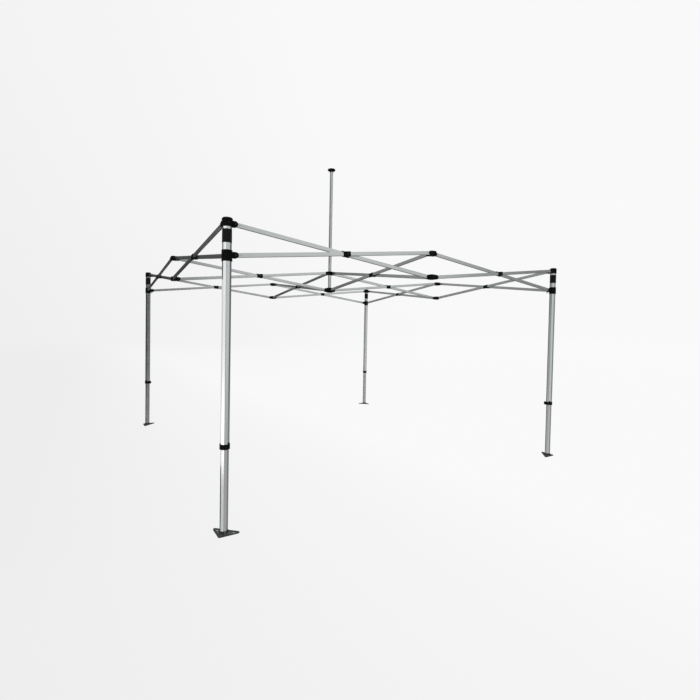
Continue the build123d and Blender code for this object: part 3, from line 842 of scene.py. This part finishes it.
def corner_pieces(turns):
    """Small pieces of one leg."""
    corner = CORNERS[turns]
    place = corner_place(turns)
    leg, slider, inner = f"{corner}_leg", f"{corner}_slider", f"{corner}_inner_leg"

    bm = bmesh.new()
    band_flap(bm, 110.0, 292.0)
    piece(f"{corner}_band_flap", bm, BAND_FABRIC, leg, place)
    bm = bmesh.new()
    band_stitches(bm, 125, 275)
    piece(f"{corner}_band_stitches", bm, THREAD, leg, place)

    bm = bmesh.new()
    for depth, wide in BRACKET_BEADS:
        octagon_bead(bm, BRACKET_FLATS, 0.007, BRACKET_TOP - depth, wide, 0.0007)
    raised_ring(bm, 0.0110, 0.0145, 0.0009, Matrix.Translation((0, 0, BRACKET_TOP)))
    for spoke in range(8):
        turn = Matrix.Rotation(spoke * pi / 4 + pi / 8, 4, "Z")
        ridge(bm, 0.0058, 0.0016, 0.0008, turn @ Matrix.Translation((0.0172, 0, BRACKET_TOP)))
    ear_rings(bm, Vector((CORNER_REACH, BAR_PLANE, HIGH_PIVOT)), X_AXIS, Y_AXIS)
    ear_rings(bm, Vector((-BAR_PLANE, CORNER_REACH, HIGH_PIVOT)), Y_AXIS, X_AXIS)
    piece(f"{corner}_bracket_trim", bm, CONNECTOR_PLASTIC, leg, place)
    bm = bmesh.new()
    for angle in (180.0, 270.0):
        screw(bm, 0.0042, 0.0022, on_flat(angle, BRACKET_FLATS, HIGH_PIVOT))
    piece(f"{corner}_bracket_screws", bm, BOLT_STEEL, leg, place)

    bm = bmesh.new()
    for height in SLIDER_BEADS:
        octagon_bead(bm, SLIDER_FLATS, 0.004, SLIDER_MIDDLE + height, 0.0030, 0.0009)
    for angle in (180.0, 225.0, 270.0):
        for offset in (-0.0060, 0.0060):
            upright = Matrix.Translation((offset, 0, 0)) @ Matrix.Rotation(pi / 2, 4, "Z")
            ridge(bm, 0.034, 0.0022, 0.0008, on_flat(angle, SLIDER_FLATS, SLIDER_RIBS_HEIGHT) @ upright)
    ear_rings(bm, Vector((CORNER_REACH, -BAR_PLANE, LOW_PIVOT)), X_AXIS, Y_AXIS)
    ear_rings(bm, Vector((BAR_PLANE, CORNER_REACH, LOW_PIVOT)), Y_AXIS, X_AXIS)
    piece(f"{corner}_slider_trim", bm, CONNECTOR_PLASTIC, slider, place)

    bm = bmesh.new()
    for height in COLLAR_BEADS:
        octagon_bead(bm, COLLAR_FLATS, 0.005, COLLAR_MIDDLE + height, 0.0024, 0.0007)
    piece(f"{corner}_collar_trim", bm, CONNECTOR_PLASTIC, leg, place)
    bm = bmesh.new()
    for angle in (180.0, 270.0):
        screw(bm, 0.0038, 0.0020, on_flat(angle, COLLAR_FLATS, COLLAR_MIDDLE))
    piece(f"{corner}_collar_screws", bm, BOLT_STEEL, leg, place)

    bm = bmesh.new()
    weld_bead(bm)
    piece(f"{corner}_foot_weld", bm, PAINTED_HIGHLIGHT_STEEL, inner, place)
    bm = bmesh.new()
    screw(bm, 0.0034, 0.0018, on_flat(270.0, SOCKET_FLATS, SOCKET_SCREW_HEIGHT))
    piece(f"{corner}_foot_screw", bm, BRIGHT_METAL, inner, place)

    slider_tab = facing(INWARDS * SLIDER_TAB_PLACE + Z_AXIS * LOW_PIVOT, INWARDS)
    slider_tab = slider_tab @ Matrix.Rotation(-radians(SLIDER_TAB_TILT), 4, "X")
    slider_tab = slider_tab @ Matrix.Translation((0, 0, TAB_HALF_THICK))
    tab_ribs("slider_latch", corner, place @ slider_tab, SLIDER_TAB_FIRST_RIB)
    tab_face = INWARDS * (COLLAR_TAB_PLACE + TAB_HALF_THICK) + Z_AXIS * COLLAR_LATCH_HEIGHT
    tab_ribs("collar_latch", corner, place @ facing(tab_face, INWARDS), COLLAR_TAB_FIRST_RIB)


def side_pieces(turns):
    """Rings and ribs on the two connectors of one side."""
    side = SIDES[turns]
    turn = Matrix.Rotation(turns * pi / 2, 4, "Z")
    for level, height, plane in (("upper", HIGH_PIVOT, -BAR_PLANE), ("lower", LOW_PIVOT, BAR_PLANE)):
        bm = bmesh.new()
        for top in (1, -1):
            face = facing(Z_AXIS * top * SIDE_BODY_HIGH / 2, Z_AXIS * top, Y_AXIS)
            raised_ring(bm, 0.0068, 0.0096, 0.0010, face)
            for spoke in range(8):
                spoke_turn = Matrix.Rotation(spoke * pi / 4 + pi / 8, 4, "Z")
                ridge(bm, 0.0050, 0.0016, 0.0008, face @ spoke_turn @ Matrix.Translation((0.0120, 0, 0)))
        ear_rings(bm, Vector((-SIDE_REACH, plane, 0)), X_AXIS, Y_AXIS)
        ear_rings(bm, Vector((SIDE_REACH, -plane, 0)), X_AXIS, Y_AXIS)
        ear_rings(bm, Vector((plane, INNER_REACH, 0)), Y_AXIS, X_AXIS)
        name = f"{side}_{level}_connector"
        place = turn @ Matrix.Translation((0, -HALF, height))
        piece(f"{name}_trim", bm, CONNECTOR_PLASTIC, name, place)


def cuff_trim(name, bar_place):
    """Ring round the middle bolt and grip ribs on the outer face of a bar's cuff."""
    middle, along, out = bar_place[:3]
    bm = bmesh.new()
    raised_ring(bm, RING_INSIDE, RING_OUTSIDE, 0.0008)
    for offset in CUFF_RIBS:
        ridge(bm, 0.0200, 0.0016, 0.0007, Matrix.Translation((0, offset, 0)))
    place = facing(middle + out * CUFF_THICK / 2, out, along)
    piece(f"{name}_cuff_trim", bm, CUFF_PLASTIC, name, place)


def middle_pieces():
    """Small pieces on the bars, hubs, pole and cap."""
    for name, bar_place in bar_places().items():
        cuff_trim(name, bar_place)
    for level, height, high, plane in (("upper", HIGH_PIVOT, UPPER_HUB_HIGH, BAR_PLANE),
                                       ("lower", LOW_PIVOT, LOWER_HUB_HIGH, -BAR_PLANE)):
        bm = bmesh.new()
        top = Matrix.Translation((0, 0, high / 2))
        raised_ring(bm, POLE_RADIUS + 0.0010, POLE_RADIUS + 0.0038, 0.0016, top)
        for spoke in range(4):
            turn = Matrix.Rotation(spoke * pi / 2, 4, "Z")
            diagonal = Matrix.Rotation(spoke * pi / 2 + pi / 4, 4, "Z")
            ridge(bm, 0.0045, 0.0018, 0.0009, diagonal @ Matrix.Translation((0.0214, 0, high / 2)))
            pivot = turn @ Vector((plane, -HUB_REACH, 0))
            ear_rings(bm, pivot, turn @ Y_AXIS, turn @ X_AXIS)
        place = Matrix.Translation((0, 0, height))
        piece(f"{level}_hub_trim", bm, CONNECTOR_PLASTIC, f"{level}_hub", place)

    bm = bmesh.new()
    button = facing(Z_AXIS * BUTTON_HEIGHT - INWARDS * POLE_RADIUS, -INWARDS)
    dome = [circle_loop(BUTTON_RADIUS, -0.0010)]
    for step in range(6):
        lift = pi / 2 * step / 6
        dome.append(circle_loop(BUTTON_RADIUS * cos(lift), BUTTON_RISE * sin(lift)))
    skin(bm, dome, button)
    piece("pole_button", bm, BRIGHT_METAL, "lower_hub")

    bm = bmesh.new()
    for spoke in range(8):
        turn = Matrix.Rotation(spoke * pi / 4, 4, "Z")
        loops = []
        for y, shrink in ((-0.0009, 0.0004), (-0.0006, 0.0), (0.0006, 0.0), (0.0009, 0.0004)):
            loops.append([(CAP_SKIRT_RADIUS - SUNK, y, CAP_UNDERSIDE + SUNK),
                          (GUSSET_REACH - shrink, y, CAP_UNDERSIDE + SUNK),
                          (GUSSET_REACH - 0.0005 - shrink, y, CAP_UNDERSIDE - 0.0012),
                          (CAP_SKIRT_RADIUS + 0.0040 - shrink, y, CAP_UNDERSIDE - 0.0050),
                          (CAP_SKIRT_RADIUS + 0.0010 - shrink, y, CAP_UNDERSIDE - GUSSET_DEPTH + 0.0005),
                          (CAP_SKIRT_RADIUS - SUNK, y, CAP_UNDERSIDE - GUSSET_DEPTH)])
        skin(bm, loops, turn)
    piece("pole_cap_gussets", bm, CAP_PLASTIC, "lower_hub")


UPRIGHT = (0.0, pi / 2, 0.0)
BAR_METALS = {}
LEG_METAL = aluminium("leg_aluminium", (0.74, 0.755, 0.755), (0.66, 0.67, 0.68),
                      (0.15, 0.23), UPRIGHT)
INNER_METAL = aluminium("inner_leg_aluminium", (0.66, 0.67, 0.645), (0.58, 0.59, 0.565),
                        (0.18, 0.28), UPRIGHT)
POLE_METAL = aluminium("pole_aluminium", (0.85, 0.87, 0.88), (0.77, 0.79, 0.80),
                       (0.18, 0.28), UPRIGHT)
CONNECTOR_PLASTIC = plastic("connector_plastic", (0.0040, 0.0040, 0.0045))
CUFF_PLASTIC = plastic("cuff_plastic", (0.0060, 0.0060, 0.0066), (0.40, 0.60))
LATCH_PLASTIC = plastic("latch_plastic", (0.0065, 0.0065, 0.0070), (0.30, 0.46), 0.8)
CAP_PLASTIC = plastic("cap_plastic", (0.0060, 0.0060, 0.0066), (0.34, 0.50), 0.4)
BOLT_STEEL = blackened_steel("bolt_steel")
BRIGHT_METAL = bright_metal("bright_metal")
PLATE_STEEL = plate_steel("plate_steel")
# Tops of the foot plates and the welds: lighter grey with a painted highlight.
PAINTED_HIGHLIGHT_STEEL = painted_highlight_steel("painted_highlight_steel")
BAND_FABRIC = hook_and_loop("hook_and_loop")
THREAD = thread("black_thread")

camera()
world_light()
floor()
# The key light stands left of the front left leg, and a narrow one lights that leg's left edge.
soft_box("key_light", (-2.60, -1.80, 1.00), (-1.45, -1.45, 1.00), 0.62, 2.1, 4.4)
soft_box("edge_light", (-1.62, -0.95, 0.80), (-1.47, -1.45, 0.80), 0.25, 1.2, 0.85)
soft_box("top_light", (0.0, 0.0, 5.2), (0.0, 0.0, 0.0), 5.0, 5.0, 40.0)
finish_cad()
for turns in range(4):
    corner_pieces(turns)
    side_pieces(turns)
middle_pieces()

bpy.context.scene.view_settings.view_transform = "Standard"
